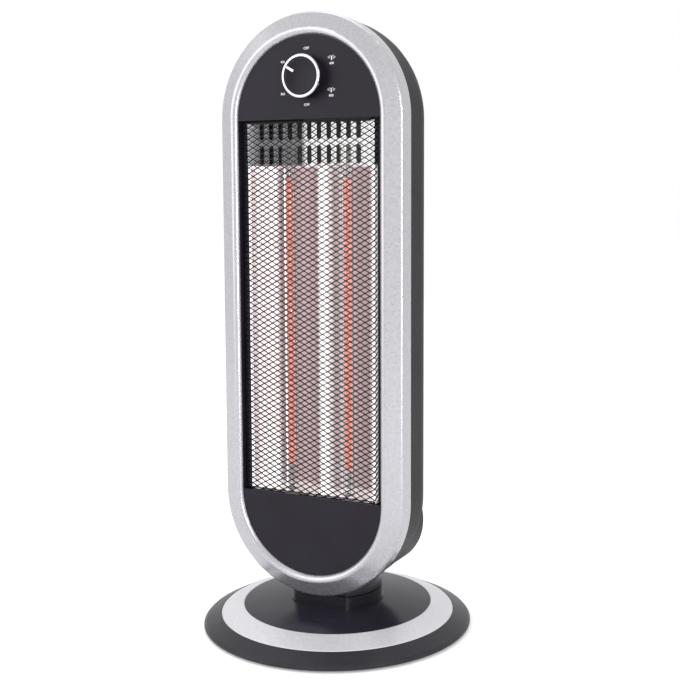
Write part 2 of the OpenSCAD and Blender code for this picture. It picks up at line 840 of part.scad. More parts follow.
// Expanded metal: rows of diamonds, every second row set half a diamond aside
module guard_mesh(back, front) {
    nx = ceil(guard_x / diamond_w) + 1;
    nz = ceil(guard_z / diamond_h) + 1;
    w = diamond_w - strand * 1.9;
    h = diamond_h - strand * 1.35;
    margin = guard_t;
    difference() {
        slab(back, front) translate([-guard_x, head_mid_z - guard_z])
            square([2 * guard_x, 2 * guard_z]);
        for (i = [-nx : nx], k = [-nz : nz], s = [0, 0.5])
            let (x = (i + s) * diamond_w, z = (k + s) * diamond_h)
                if (abs(x) < guard_x + w / 2 - 2 && abs(z) < guard_z + h / 2 - 2)
                    slab(back - 1, front + 1) intersection() {
                        translate([x, head_mid_z + z])
                            polygon([[-w / 2, 0], [0, -h / 2], [w / 2, 0], [0, h / 2]]);
                        translate([-guard_x + margin, head_mid_z - guard_z + margin])
                            square([2 * (guard_x - margin), 2 * (guard_z - margin)]);
                    }
    }
}

module mesh_guard() {
    color("#151516") {
        guard_mesh(panel_front - guard_t, panel_front);
        for (s = [-1, 1]) {
            guard_side(s);
            block([-guard_x, panel_front - guard_lip, s > 0 ? head_mid_z + guard_z - guard_t : head_mid_z - guard_z],
                  [guard_x, panel_front - guard_t, s > 0 ? head_mid_z + guard_z : head_mid_z - guard_z + guard_t]);
        }
    }
}

module guard_side(s) {
    low = s > 0 ? guard_x - guard_t : -guard_x;
    difference() {
        block([low, panel_front - guard_depth, head_mid_z - guard_z],
              [low + guard_t, panel_front - guard_t, head_mid_z + guard_z]);
        for (k = [-floor(guard_z / diamond_h) + 1 : floor(guard_z / diamond_h) - 1])
            block([low - 1, panel_front - guard_depth + strand, head_mid_z + (k - 0.5) * diamond_h + strand],
                  [low + guard_t + 1, panel_front - guard_t - strand, head_mid_z + (k + 0.5) * diamond_h]);
    }
    for (z = [-0.75, -0.25, 0.25, 0.75])
        block([s > 0 ? guard_x : -panel_r + 0.5, flange_fwd - tab_t, head_mid_z + z * guard_z - tab_w / 2],
              [s > 0 ? panel_r - 0.5 : -guard_x, flange_fwd, head_mid_z + z * guard_z + tab_w / 2]);
}

// Heating unit

module header_plate() {
    color("#8d8a8a") {
        difference() {
            slab(header_fwd - sheet_t, header_fwd)
                translate([-lip_half, header_bottom]) square([2 * lip_half, header_h]);
            for (i = [0 : slot_count - 1], row = [0, 1])
                slab(header_fwd - 3, header_fwd + 3)
                    translate([(i - (slot_count - 1) / 2) * slot_pitch,
                               header_bottom + slot_low + slot_len / 2 + row * (slot_len + slot_row)])
                        rotate(90) round_slot(slot_len, slot_w);
        }
        block([-lip_half, header_fwd - 12, header_top - sheet_t],
              [lip_half, header_fwd - sheet_t, header_top]);
    }
}

module trough(grow) {
    difference() {
        translate([trough_x, trough_c]) circle(trough_r + grow, $fn = 180);
        translate([0, ridge_fwd]) square([trough_x, 80]);
        translate([trough_x, lip_fwd]) square([60, 40]);
    }
}

module reflector_profile() {
    for (side = [0, 1]) mirror([side, 0]) {
        difference() {
            trough(sheet_t);
            trough(0);
            translate([trough_x, trough_c]) circle(trough_r, $fn = 180);
        }
        translate([mouth_half - 0.1, lip_fwd - sheet_t]) square([lip_half - mouth_half + 0.1, sheet_t]);
    }
    translate([-ridge_half, ridge_fwd - sheet_t]) square([2 * ridge_half, sheet_t]);
}

module reflector() {
    color("#d8d2d2") translate([0, 0, floor_z + sheet_t]) mirror([0, 1, 0])
        linear_extrude(height = roof_z - floor_z - sheet_t) reflector_profile();
}

module end_plate(z) {
    difference() {
        block([-lip_half, shield_fwd + sheet_t, z], [lip_half, lip_fwd, z + sheet_t]);
        for (s = [-1, 1]) translate([s * tube_x, -tube_fwd, z - 1]) cylinder(d = tube_d + 2 * fit, h = 4);
    }
}

module reflector_roof() {
    color("#cfcaca") end_plate(roof_z);
}

module reflector_floor() {
    color("#e4e0e0") end_plate(floor_z);
}

module heat_shield() {
    z0 = floor_z - 8;
    z1 = header_top + 4;
    color("#a5a7ab") difference() {
        union() {
            block([-shield_x, shield_fwd, z0], [shield_x, shield_fwd + sheet_t, z1]);
            for (s = [-1, 1]) {
                x = s > 0 ? shield_x - sheet_t : -shield_x;
                block([x, shield_fwd, z0], [x + sheet_t, shield_front, z1]);
                block([s > 0 ? shield_x - sheet_t : -shield_x - 5, shield_front - sheet_t, z0],
                      [s > 0 ? shield_x + 5 : -shield_x + sheet_t, shield_front, z1]);
            }
        }
        for (i = [0 : 5], s = [-1, 1])
            bar(s * 44, head_mid_z - 125 + i * 50, 7, 0, 8);
    }
}

module tube(s) {
    color("#e9eef2") translate([s * tube_x, -tube_fwd, tube_bottom]) difference() {
        cylinder(d = tube_d, h = tube_top - tube_bottom);
        translate([0, 0, -1]) cylinder(d = tube_d - 2 * tube_wall, h = tube_top - tube_bottom + 2);
    }
}

module tube_left() {
    tube(-1);
}

module tube_right() {
    tube(1);
}

module filament(s) {
    color("#ff5a1e") translate([s * tube_x, -tube_fwd, 0]) {
        translate([0, 0, glow_low]) cylinder(d = filament_d, h = glow_high - glow_low);
        translate([0, 0, tube_bottom]) cylinder(r = 1, h = tube_top - tube_bottom);
        for (z = [glow_low - sleeve_h, glow_high])
            translate([0, 0, z]) cylinder(d = filament_d + 1.6, h = sleeve_h);
    }
}

module filament_left() {
    filament(-1);
}

module filament_right() {
    filament(1);
}

// A ceramic cap holds one end of a tube and rests its flange on the end plate
module cap(flip, z_end, plate_z) {
    low = flip ? z_end - cap_overlap : z_end + cap_overlap - cap_len;
    difference() {
        union() {
            translate([0, 0, low]) cylinder(d = cap_d, h = cap_len);
            translate([0, 0, plate_z]) cylinder(r = cap_flange_r, h = cap_flange_t);
        }
        translate([0, 0, flip ? low - 1 : z_end]) cylinder(d = tube_d, h = cap_overlap + 1);
        translate([0, 0, low - 1]) cylinder(r = 1.2, h = cap_len + 2);
    }
}

module tube_caps() {
    color("#eceae4") for (s = [-1, 1]) translate([s * tube_x, -tube_fwd, 0]) {
        cap(false, tube_bottom, floor_z - cap_flange_t);
        cap(true, tube_top, roof_z + sheet_t);
    }
}

module thermal_cutout() {
    color("#3a3a3c") {
        bar(0, head_mid_z + 70, 8.5, shield_fwd - 7, shield_fwd);
        slab(shield_fwd - 1.4, shield_fwd) translate([0, head_mid_z + 70]) round_slot(32, 10);
        for (s = [-1, 1])
            block([s * 4 - 1.6, shield_fwd - 13, head_mid_z + 69.4], [s * 4 + 1.6, shield_fwd - 7, head_mid_z + 70.6]);
    }
}

module terminal_block() {
    z = head_mid_z - 100;
    color("#e6e2d4") difference() {
        block([-24, shield_fwd - 13, z], [24, shield_fwd, z + 18]);
        for (i = [-1.5 : 1 : 1.5]) {
            bar(i * 11.4, z + 9, 2.4, shield_fwd - 14, shield_fwd - 5);
            translate([i * 11.4, -shield_fwd + 8, z - 1]) cylinder(r = 1.6, h = 20);
        }
    }
}

module rotary_switch() {
    back = panel_back - 1 - switch_d;
    color("#dcd8c8") difference() {
        union() {
            block([-switch_w / 2, back, knob_z - switch_h / 2], [switch_w / 2, panel_back - 1, knob_z + switch_h / 2]);
            bar(0, knob_z, 9, panel_back - 1, panel_back);
            bar(0, knob_z, bush_r, panel_back - 1, panel_front + nut_t + 0.6);
        }
        bar(0, knob_z, shaft_r + 0.08, back + 4, knob_face);
    }
    color("#b9bbbf") for (i = [-2 : 2])
        block([i * 7 - 2.4, back - 8, knob_z - 0.4], [i * 7 + 2.4, back, knob_z + 0.4]);
}

module switch_nut() {
    color("#b9bbbf") difference() {
        slab(panel_front, panel_front + nut_t) translate([0, knob_z]) circle(r = 7.5, $fn = 6);
        bar(0, knob_z, bush_r, panel_front - 1, panel_front + nut_t + 1);
    }
}

module switch_shaft() {
    color("#c4c6ca") difference() {
        bar(0, knob_z, shaft_r, panel_back - switch_d + 4, knob_face - 4);
        block([-5, panel_front + 4, knob_z + shaft_r - 1], [5, knob_face, knob_z + 5]);
    }
}

// Knob: a hollow skirt with a dished face inside the bright ring
module control_knob() {
    ring_in = knob_r - knob_ring_w;
    dish_r = 60;
    color("#19191b") difference() {
        translate([0, 0, knob_z]) rotate([90, 0, 0]) rotate_extrude() difference() {
            polygon([
                [0, knob_back], [knob_r - 0.3, knob_back], [knob_r - 0.9, knob_face - knob_ring_t],
                [ring_in, knob_face - knob_ring_t], [ring_in, knob_face - 0.6],
                [0, knob_face - 0.6]
            ]);
            square([knob_r - 3.2, knob_back + 4.2]);
            translate([0, knob_face - 2.6 + dish_r]) circle(dish_r, $fn = 360);
        }
        bar(0, knob_z, shaft_r, 0, knob_face - 4);
        rotate_pointer() block([-1.1, knob_face - 2.4, 9.5], [1.1, knob_face + 2, ring_in + 0.2]);
    }
}

// Turns what is drawn about the origin to the knob's axis and its first heat setting
module rotate_pointer() {
    translate([0, 0, knob_z]) rotate([0, -knob_turn, 0]) children();
}

module knob_ring() {
    ring_in = knob_r - knob_ring_w;
    color("#e6e7ea") translate([0, 0, knob_z]) rotate([90, 0, 0]) rotate_extrude() {
        difference() {
            translate([ring_in, knob_face - knob_ring_t]) square([knob_ring_w, knob_ring_t]);
            translate([knob_r - 1, knob_face - 1]) square(1 + eps);
        }
        translate([knob_r - 1, knob_face - 1]) circle(1, $fn = 40);
    }
}

module knob_pointer() {
    ring_in = knob_r - knob_ring_w;
    color("#f4f4f4") rotate_pointer()
        block([-1.1, knob_face - 2.4, 9.5], [1.1, knob_face - 0.6, ring_in - 0.1]);
}

base_plate();
base_skirt();
base_ring();
base_dish();
ballast();
rubber_feet();
base_screws();
cord_gland();
tip_switch();
tip_plunger();
plunger_spring();
neck_collar();
swivel_post();
post_screws();
thrust_washer();
retaining_washer();
retaining_clip();
rocker_plate();
neck_housing();
swivel_bush();
motor_bracket();
oscillation_motor();
motor_screws();
crank();
rear_shell();
case_screws();
front_panel();
front_bezel();
mesh_guard();
header_plate();
reflector();
reflector_roof();
reflector_floor();
heat_shield();
tube_left();
tube_right();
filament_left();
filament_right();
tube_caps();
thermal_cutout();
terminal_block();
rotary_switch();
switch_nut();
switch_shaft();
control_knob();
knob_ring();
knob_pointer();
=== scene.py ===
"""Looks of the carbon heater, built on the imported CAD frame.

Everything is in metres, in the CAD's own frame: +Z is up and the front faces -Y.
"""
import json
import math

import bmesh
import bpy
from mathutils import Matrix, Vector


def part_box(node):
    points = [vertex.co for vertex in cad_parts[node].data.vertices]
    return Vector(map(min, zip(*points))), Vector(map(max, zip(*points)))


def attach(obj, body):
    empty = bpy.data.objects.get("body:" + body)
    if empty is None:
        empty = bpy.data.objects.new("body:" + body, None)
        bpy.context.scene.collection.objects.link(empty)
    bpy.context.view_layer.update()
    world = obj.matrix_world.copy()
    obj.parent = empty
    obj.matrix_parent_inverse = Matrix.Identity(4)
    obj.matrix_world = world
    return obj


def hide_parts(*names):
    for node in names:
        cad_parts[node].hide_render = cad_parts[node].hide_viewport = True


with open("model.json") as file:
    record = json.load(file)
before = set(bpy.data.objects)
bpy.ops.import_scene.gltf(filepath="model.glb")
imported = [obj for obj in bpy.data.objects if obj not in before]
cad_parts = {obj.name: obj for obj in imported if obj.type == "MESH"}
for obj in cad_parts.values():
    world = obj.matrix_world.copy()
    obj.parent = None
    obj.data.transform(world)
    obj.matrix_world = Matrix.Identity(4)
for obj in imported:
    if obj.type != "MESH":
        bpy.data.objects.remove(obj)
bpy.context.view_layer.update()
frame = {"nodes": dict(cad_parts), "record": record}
record = frame["record"]
nodes = frame["nodes"]
scene = bpy.context.scene


def add_object(name, data):
    obj = bpy.data.objects.new(name, data)
    scene.collection.objects.link(obj)
    return obj


def aim(obj, eye, target):
    """Puts a camera or a lamp at eye, looking at the target."""
    obj.location = eye
    obj.rotation_euler = (Vector(target) - Vector(eye)).to_track_quat("-Z", "Y").to_euler()


# Camera: the photograph's view

EYE = (0.54137, -0.98435, 0.42996)
AIM = (0.07038, 0.0, 0.32104)
SENSOR_MM = 36.0
LENS_MM = 59.84
SHIFT_X = -0.0882
SHIFT_Y = -0.0441

cam_data = bpy.data.cameras.new("camera")
cam_data.sensor_width = SENSOR_MM
cam_data.lens = LENS_MM
cam_data.shift_x = SHIFT_X
cam_data.shift_y = SHIFT_Y
cam = add_object("camera", cam_data)
aim(cam, EYE, AIM)
scene.camera = cam
scene.view_settings.view_transform = "Standard"


# Shader nodes

def plug(tree, target, sockets):
    """Gives sockets of a node their values, or a link where the value is a node's output."""
    for key, value in sockets.items():
        if isinstance(value, bpy.types.NodeSocket):
            tree.links.new(value, target.inputs[key])
        else:
            target.inputs[key].default_value = value


def node(tree, kind, sockets, operation=None):
    """A new node of a kind, with its sockets and, where it has one, its operation."""
    made = tree.nodes.new(kind)
    if operation:
        made.operation = operation
    plug(tree, made, sockets)
    return made


def coordinates(tree):
    return node(tree, "ShaderNodeTexCoord", {}).outputs


def stretched(tree, vector, scale):
    return node(tree, "ShaderNodeMapping", {"Vector": vector, "Scale": scale}).outputs["Vector"]


def axes(tree, vector):
    return node(tree, "ShaderNodeSeparateXYZ", {"Vector": vector}).outputs


def noise(tree, vector, scale, detail):
    sockets = {"Vector": vector, "Scale": scale, "Detail": detail}
    return node(tree, "ShaderNodeTexNoise", sockets).outputs["Fac"]


def maths(tree, operation, first, second=0.5):
    return node(tree, "ShaderNodeMath", {0: first, 1: second}, operation).outputs["Value"]


def scaled(tree, vector, factor):
    sockets = {0: vector, "Scale": factor}
    return node(tree, "ShaderNodeVectorMath", sockets, "SCALE").outputs["Vector"]


def map_range(tree, value, to=(0.0, 1.0), source=(0.0, 1.0)):
    """Maps a value from the source range to another one, and clamps it there."""
    sockets = {"Value": value, "From Min": source[0], "From Max": source[1],
               "To Min": to[0], "To Max": to[1]}
    return node(tree, "ShaderNodeMapRange", sockets).outputs["Result"]


def colour_ramp(tree, factor, stops):
    """A ramp through stops, each a position from 0 to 1 and a colour."""
    ramp = node(tree, "ShaderNodeValToRGB", {"Fac": factor})
    elements = ramp.color_ramp.elements
    for element, (position, colour) in zip(elements, (stops[0], stops[-1])):
        element.position = position
        element.color = (*colour, 1)
    for position, colour in stops[1:-1]:
        elements.new(position).color = (*colour, 1)
    return ramp.outputs["Color"]


# Materials

CLOUD_DETAIL = 5.0
CLOUD_DARK, CLOUD_LIGHT = 0.3, 0.7      # noise values of the darkest and the lightest colour
RELIEF_DETAIL = 3.0
RELIEF_HEIGHT = 0.0003
COAT_ROUGH = 0.1
SMEAR_SCALE = 25.0
SMEAR_ROUGH = (0.02, 0.07)
WEAVE_SCALE = 420.0
WEAVE_DETAIL = 4.0
WEAVE_DARK, WEAVE_LIGHT = 0.35, 0.65
WHITE = (1, 1, 1, 1)


def principled(name):
    mat = bpy.data.materials.new(name)
    mat.use_nodes = True
    return mat, mat.node_tree, mat.node_tree.nodes["Principled BSDF"]


def surface(name, colour, metal=0.0, rough=0.4, vary=0.12, scale=60.0, stretch=(1, 1, 1),
            rough_vary=0.08, bump=0.0, bump_scale=900.0, coat=0.0, specular=0.5):
    """A material whose colour, roughness and fine relief vary with noise over the object."""
    mat, tree, bsdf = principled(name)
    spot = stretched(tree, coordinates(tree)["Object"], stretch)
    cloud = noise(tree, spot, scale, CLOUD_DETAIL)
    darker = [c * (1 - vary) for c in colour]
    lighter = [min(1, c * (1 + vary)) for c in colour]
    rough_range = (max(0.02, rough - rough_vary), min(1.0, rough + rough_vary))
    plug(tree, bsdf, {
        "Base Color": colour_ramp(tree, cloud, [(CLOUD_DARK, darker), (CLOUD_LIGHT, lighter)]),
        "Roughness": map_range(tree, cloud, rough_range),
        "Metallic": metal,
        "Specular IOR Level": specular,
        "Coat Weight": coat,
        "Coat Roughness": COAT_ROUGH,
    })
    if bump:
        fine = noise(tree, spot, bump_scale, RELIEF_DETAIL)
        sockets = {"Height": fine, "Strength": bump, "Distance": RELIEF_HEIGHT}
        relief = node(tree, "ShaderNodeBump", sockets)
        plug(tree, bsdf, {"Normal": relief.outputs["Normal"]})
    return mat


def glass(name):
    """Clear quartz with faint smears."""
    mat, tree, bsdf = principled(name)
    smears = node(tree, "ShaderNodeTexNoise", {"Scale": SMEAR_SCALE}).outputs["Fac"]
    plug(tree, bsdf, {
        "Base Color": (0.96, 0.97, 0.98, 1),
        "Roughness": map_range(tree, smears, SMEAR_ROUGH),
        "Transmission Weight": 1.0,
        "IOR": 1.45,
    })
    return mat


def glowing(name, dark, bright, strength):
    """Glowing carbon, whose weave runs from a duller to a brighter orange."""
    mat, tree, bsdf = principled(name)
    weave = noise(tree, coordinates(tree)["Object"], WEAVE_SCALE, WEAVE_DETAIL)
    plug(tree, bsdf, {
        "Base Color": (0.05, 0.02, 0.015, 1),
        "Roughness": 0.8,
        "Emission Color": colour_ramp(tree, weave, [(WEAVE_DARK, dark), (WEAVE_LIGHT, bright)]),
        "Emission Strength": strength,
    })
    return mat


# Plain white of the polished sheet, and also the colour of its painted highlight bands
SHEET_WHITE = (0.98, 0.97, 0.97)
SHEET_HALF = 0.07                       # the painted reflection bands' stops run across twice this width
STREAK_STRETCH = (220, 220, 6)          # upright streaks
STREAK_SCALE = 1.0
STREAK_DETAIL = 6.0
STREAK_TONE = (0.82, 1.08)
SHADE_SHARE = 0.03                             # share of the colour that is left in the painted shade above the given height
SHADE_EDGE = (-0.0004, 0.0002)           # from where to where the painted shade sets in, about that height
FRONT_FACING = (0.15, -0.15)            # normal's y at which the painted glow, standing in for the tubes' light, begins and is full


def mirror_sheet(name, stops, rough, painted_glow, painted_shade_above=1.0):
    """Polished sheet with painted reflections in upright bands, and a painted glow where it faces
    the front, standing in for the light of the tubes.

    Level faces are plain, and the sheet has painted shade above a given height, where the panel
    shades it.
    """
    mat, tree, bsdf = principled(name)
    coords = coordinates(tree)
    spot = axes(tree, coords["Object"])
    facing = axes(tree, coords["Normal"])
    across = map_range(tree, spot["X"], source=(-SHEET_HALF, SHEET_HALF))
    upright = stretched(tree, coords["Object"], STREAK_STRETCH)
    streaks = noise(tree, upright, STREAK_SCALE, STREAK_DETAIL)
    # Painted reflections: upright bands of colour across the sheet, with plain white on level faces
    reflection_paint = tree.nodes.new("ShaderNodeMix")
    reflection_paint.data_type = "RGBA"
    plug(tree, reflection_paint, {
        "Factor": maths(tree, "ABSOLUTE", facing["Z"]),
        "A": colour_ramp(tree, across, stops),
        "B": (*SHEET_WHITE, 1),
    })
    # Painted shade: the sheet is darker above the given height, where the panel shades it
    shade_range = (painted_shade_above + SHADE_EDGE[0], painted_shade_above + SHADE_EDGE[1])
    painted_shade = map_range(tree, spot["Z"], (1.0, SHADE_SHARE), shade_range)
    shaded_colour = scaled(tree, reflection_paint.outputs["Result"], painted_shade)
    colour = scaled(tree, shaded_colour, map_range(tree, streaks, STREAK_TONE))
    # Painted glow on faces turned to the front, standing in for the light of the tubes
    glow_share = map_range(tree, facing["Y"], source=FRONT_FACING)
    plug(tree, bsdf, {
        "Base Color": colour,
        "Metallic": 1.0,
        "Roughness": map_range(tree, streaks, rough),
        "Emission Color": scaled(tree, colour, glow_share),
        "Emission Strength": painted_glow,
    })
    return mat


# Painted reflections: the white and pink-grey bands across the reflector, and the dark left and
# light right of the header, stand in for what the polished sheets reflect
PINK_GREY = (0.38, 0.285, 0.29)
HEADER_DARK = (0.19, 0.185, 0.195)
REFLECTOR_PAINTED_BANDS = [
    (0.000, SHEET_WHITE), (0.088, SHEET_WHITE), (0.110, (0.34, 0.27, 0.28)), (0.200, PINK_GREY),
    (0.462, (0.34, 0.26, 0.265)), (0.484, SHEET_WHITE), (0.530, SHEET_WHITE),
    (0.545, (0.55, 0.51, 0.51)), (0.570, (0.32, 0.28, 0.28)), (0.600, (0.52, 0.45, 0.45)),
    (0.660, (0.50, 0.42, 0.42)), (0.700, PINK_GREY), (0.800, (0.31, 0.24, 0.24)),
    (0.825, (0.70, 0.69, 0.69)), (1.000, SHEET_WHITE),
]
HEADER_PAINTED_BANDS = [
    (0.000, (0.42, 0.41, 0.42)), (0.090, HEADER_DARK), (0.445, HEADER_DARK),
    (0.475, (0.88, 0.87, 0.87)), (1.000, (0.94, 0.93, 0.93)),
]
SURFACES = {
    # The base
    "dish_black": dict(colour=(0.018, 0.0175, 0.026), rough=0.20, vary=0.2, scale=30,
                       rough_vary=0.05, bump=0.04, specular=0.15),
    "rim_grey": dict(colour=(0.020, 0.020, 0.025), rough=0.38, vary=0.15, scale=40, bump=0.08,
                     specular=0.26),
    "ring_silver": dict(colour=(0.62, 0.615, 0.645), metal=0.40, rough=0.42, vary=0.05, scale=300,
                        rough_vary=0.04, bump=0.03, bump_scale=2600, coat=0.15),
    "plate_steel": dict(colour=(0.03, 0.03, 0.033), rough=0.5, vary=0.2, scale=40, bump=0.2),
    "ballast_iron": dict(colour=(0.10, 0.10, 0.105), metal=0.6, rough=0.7, vary=0.3, scale=50,
                         bump=0.8, bump_scale=400),
    "foot_rubber": dict(colour=(0.02, 0.02, 0.02), rough=0.85, vary=0.2, scale=200, bump=0.5),
    "gland_rubber": dict(colour=(0.02, 0.02, 0.02), rough=0.8, vary=0.2, scale=200, bump=0.4),
    # The neck and its swivel
    "neck_black": dict(colour=(0.008, 0.008, 0.012), rough=0.22, vary=0.2, scale=30,
                       rough_vary=0.05, bump=0.04, specular=0.34),
    "steel_turned": dict(colour=(0.60, 0.60, 0.62), metal=1.0, rough=0.30, vary=0.1, scale=90,
                         stretch=(1, 1, 9)),
    "bronze": dict(colour=(0.50, 0.32, 0.14), metal=1.0, rough=0.45, vary=0.2, scale=300, bump=0.2),
    "washer_plastic": dict(colour=(0.66, 0.65, 0.60), rough=0.5, vary=0.05, scale=90, bump=0.05),
    "motor_can": dict(colour=(0.5, 0.5, 0.52), metal=1.0, rough=0.35, vary=0.1, scale=120),
    # The head
    "bezel_silver": dict(colour=(0.475, 0.470, 0.497), metal=0.82, rough=0.28, vary=0.05, scale=300,
                         rough_vary=0.04, bump=0.03, bump_scale=2600, coat=0.15),
    "case_black": dict(colour=(0.008, 0.0075, 0.011), rough=0.46, vary=0.2, scale=25, bump=0.35,
                       bump_scale=1500, specular=0.15),
    "panel_charcoal": dict(colour=(0.010, 0.008, 0.014), rough=0.44, vary=0.2, scale=25, bump=0.12,
                           bump_scale=1800, specular=0.22),
    "guard_black": dict(colour=(0.004, 0.004, 0.005), rough=0.36, vary=0.3, scale=200, bump=0.1,
                        specular=0.14),
    "steel_sheet": dict(colour=(0.16, 0.155, 0.15), metal=1.0, rough=0.48, vary=0.3, scale=70),
    "ceramic": dict(colour=(0.74, 0.73, 0.69), rough=0.7, vary=0.06, scale=150, bump=0.3),
    "lead_metal": dict(colour=(0.45, 0.43, 0.42), metal=1.0, rough=0.35, vary=0.2, scale=300),
    # The switches and the knob
    "switch_plastic": dict(colour=(0.62, 0.58, 0.48), rough=0.5, vary=0.06, scale=90, bump=0.1),
    "dark_plastic": dict(colour=(0.03, 0.03, 0.033), rough=0.5, vary=0.2, scale=90, bump=0.1),
    "white_plastic": dict(colour=(0.72, 0.71, 0.66), rough=0.45, vary=0.05, scale=90, bump=0.08),
    "knob_black": dict(colour=(0.010, 0.008, 0.014), rough=0.33, vary=0.2, scale=60, bump=0.06,
                       specular=0.18),
    "knob_chrome": dict(colour=(0.50, 0.50, 0.52), metal=1.0, rough=0.08, vary=0.03, scale=80,
                        rough_vary=0.03),
    "pointer_white": dict(colour=(0.85, 0.85, 0.86), rough=0.45, vary=0.04, scale=300, bump=0.05),
    # Fasteners and the spring
    "screw_steel": dict(colour=(0.50, 0.50, 0.52), metal=1.0, rough=0.33, vary=0.15, scale=300),
    "spring_steel": dict(colour=(0.5, 0.5, 0.52), metal=1.0, rough=0.28, vary=0.1, scale=400),
}
guard_low, guard_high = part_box("mesh_guard")
finish = {name: surface(name, **look) for name, look in SURFACES.items()}
# The header and the reflector carry painted reflections and a painted glow, and the header has
# painted shade above the guard's top edge
finish["header_sheet"] = mirror_sheet("header_sheet", HEADER_PAINTED_BANDS, rough=(0.30, 0.42),
                                      painted_glow=0.18, painted_shade_above=guard_high.z)
finish["mirror_sheet"] = mirror_sheet("mirror_sheet", REFLECTOR_PAINTED_BANDS, rough=(0.34, 0.52),
                                      painted_glow=0.72)
finish["quartz"] = glass("quartz")
finish["carbon_glow"] = glowing("carbon_glow", dark=(0.56, 0.12, 0.09), bright=(0.94, 0.38, 0.29),
                                strength=1.15)

slot_of = {p["node"]: p["material_slot"] for p in record["subparts"]}
for name, obj in nodes.items():
    for s in obj.material_slots:
        s.material = finish[slot_of[name]]


# Meshes

def piece(name, bm, material, body, smooth=None):
    """A mesh object that rides on a body. Edges up to smooth degrees shade smooth."""
    mesh = bpy.data.meshes.new(name)
    bm.normal_update()
    bm.to_mesh(mesh)
    bm.free()
    mesh.materials.append(material)
    if smooth is not None:
        for polygon in mesh.polygons:
            polygon.use_smooth = True
        mesh.set_sharp_from_angle(angle=math.radians(smooth))
    obj = add_object(name, mesh)
    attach(obj, body)
    return obj


def sweep(bm, points, radius, sides):
    """A round tube along a line of points, closed at both ends."""
    angles = [2 * math.pi * k / sides for k in range(sides)]
    rings = []
    for i, p in enumerate(points):
        ahead = points[min(i + 1, len(points) - 1)] - points[max(i - 1, 0)]
        ahead.normalize()
        side = ahead.cross(Vector((0, 0, 1)))
        if side.length < 1e-6:
            side = ahead.cross(Vector((0, 1, 0)))
        side.normalize()
        rise = side.cross(ahead)
        rings.append([bm.verts.new(p + radius * (math.cos(a) * side + math.sin(a) * rise))
                      for a in angles])
    for a, b in zip(rings, rings[1:]):
        for k in range(sides):
            m = (k + 1) % sides
            bm.faces.new((a[k], a[m], b[m], b[k]))
    bm.faces.new(list(reversed(rings[0])))
    bm.faces.new(rings[-1])


# Expanded-metal guard: a sheet of fine diamonds, folded back at its four edges

FRONT = guard_low.y
GUARD_MID = (guard_low.z + guard_high.z) / 2
GUARD_X = 0.0705                        # half its width
GUARD_Z = (guard_high.z - guard_low.z) / 2
DIAMONDS_ACROSS = 14
DIAMONDS_UP = 66
PITCH_X = 2 * GUARD_X / DIAMONDS_ACROSS
PITCH_Z = 2 * GUARD_Z / DIAMONDS_UP
SIDE = 0.0098                           # depth of the folded sides
LIP = 0.0034                            # depth of the folded top and bottom
FOLD_R = 0.0009
THICK = 0.0007
REACH_X = GUARD_X + 0.6 * PITCH_X       # no diamond's middle lies beyond these
REACH_Z = GUARD_Z + LIP
CORNER_X = GUARD_X - 0.4 * PITCH_X      # and none beyond both of these: the corners are open
CORNER_Z = GUARD_Z - 0.4 * PITCH_Z
OPEN_X = 0.40 * PITCH_X                 # an opening's half length and half height
OPEN_Z = 0.375 * PITCH_Z
OPEN_FLAT = 0.04 * PITCH_X              # half of the flat at its top and bottom
SKEW_Z = 0.016 * PITCH_Z                # the openings lean a little to one side
SKEW_X = 0.016 * PITCH_X
TILT = 0.00022                          # how far a strand's upper edge stands out
HEM_THICK = 0.00074
HEM_ROWS = [GUARD_Z - 0.0019 + k * 0.0004 for k in range(6)]
HEM_END = GUARD_X - 0.003
MERGE = 0.00001


def bend(along, edge, n):
    """The place along the sheet and the depth behind its front, past the fold at an edge."""
    over = abs(along) - (edge - FOLD_R)
    arc = FOLD_R * math.pi / 2
    angle = min(over / arc, 1) * math.pi / 2
    radius = FOLD_R + n - THICK / 2
    place = math.copysign(edge - FOLD_R + radius * math.sin(angle), along)
    return place, FOLD_R - radius * math.cos(angle) + max(0, over - arc)


def fold(u, v, n):
    """Bends the flat sheet: u across, v up, n out of the sheet towards its front."""
    x, z, depth = u, v, THICK / 2 - n
    if abs(u) > GUARD_X - FOLD_R:
        x, depth = bend(u, GUARD_X, n)
    elif abs(v) > GUARD_Z - FOLD_R:
        z, depth = bend(v, GUARD_Z, n)
    return Vector((x, FRONT + depth, GUARD_MID + z))


def diamond(bm, cu, cv):
    """One mesh of the guard: four strands round a six-sided opening."""
    outer = [(PITCH_X / 2, 0, 0), (0, PITCH_Z / 2, 0), (-PITCH_X / 2, 0, 0), (0, -PITCH_Z / 2, 0)]
    inner = [(OPEN_X, SKEW_Z, 0), (OPEN_FLAT + SKEW_X, OPEN_Z, TILT),
             (SKEW_X - OPEN_FLAT, OPEN_Z, TILT), (-OPEN_X, -SKEW_Z, 0),
             (-OPEN_FLAT - SKEW_X, -OPEN_Z, -TILT), (OPEN_FLAT - SKEW_X, -OPEN_Z, -TILT)]
    layers = []
    for n in (THICK / 2, -THICK / 2):
        layers.append(([bm.verts.new(fold(cu + x, cv + z, n + t)) for x, z, t in outer],
                       [bm.verts.new(fold(cu + x, cv + z, n + t)) for x, z, t in inner]))
    for k, (o, i) in enumerate(layers):
        for face in ((o[0], o[1], i[1], i[0]), (o[1], i[2], i[1]), (o[1], o[2], i[3], i[2]),
                     (o[2], o[3], i[4], i[3]), (o[3], i[5], i[4]), (o[3], o[0], i[0], i[5])):
            bm.faces.new(face if k == 0 else tuple(reversed(face)))
    top, bottom = layers[0][1], layers[1][1]
    for k in range(6):
        m = (k + 1) % 6
        bm.faces.new((top[k], top[m], bottom[m], bottom[k]))


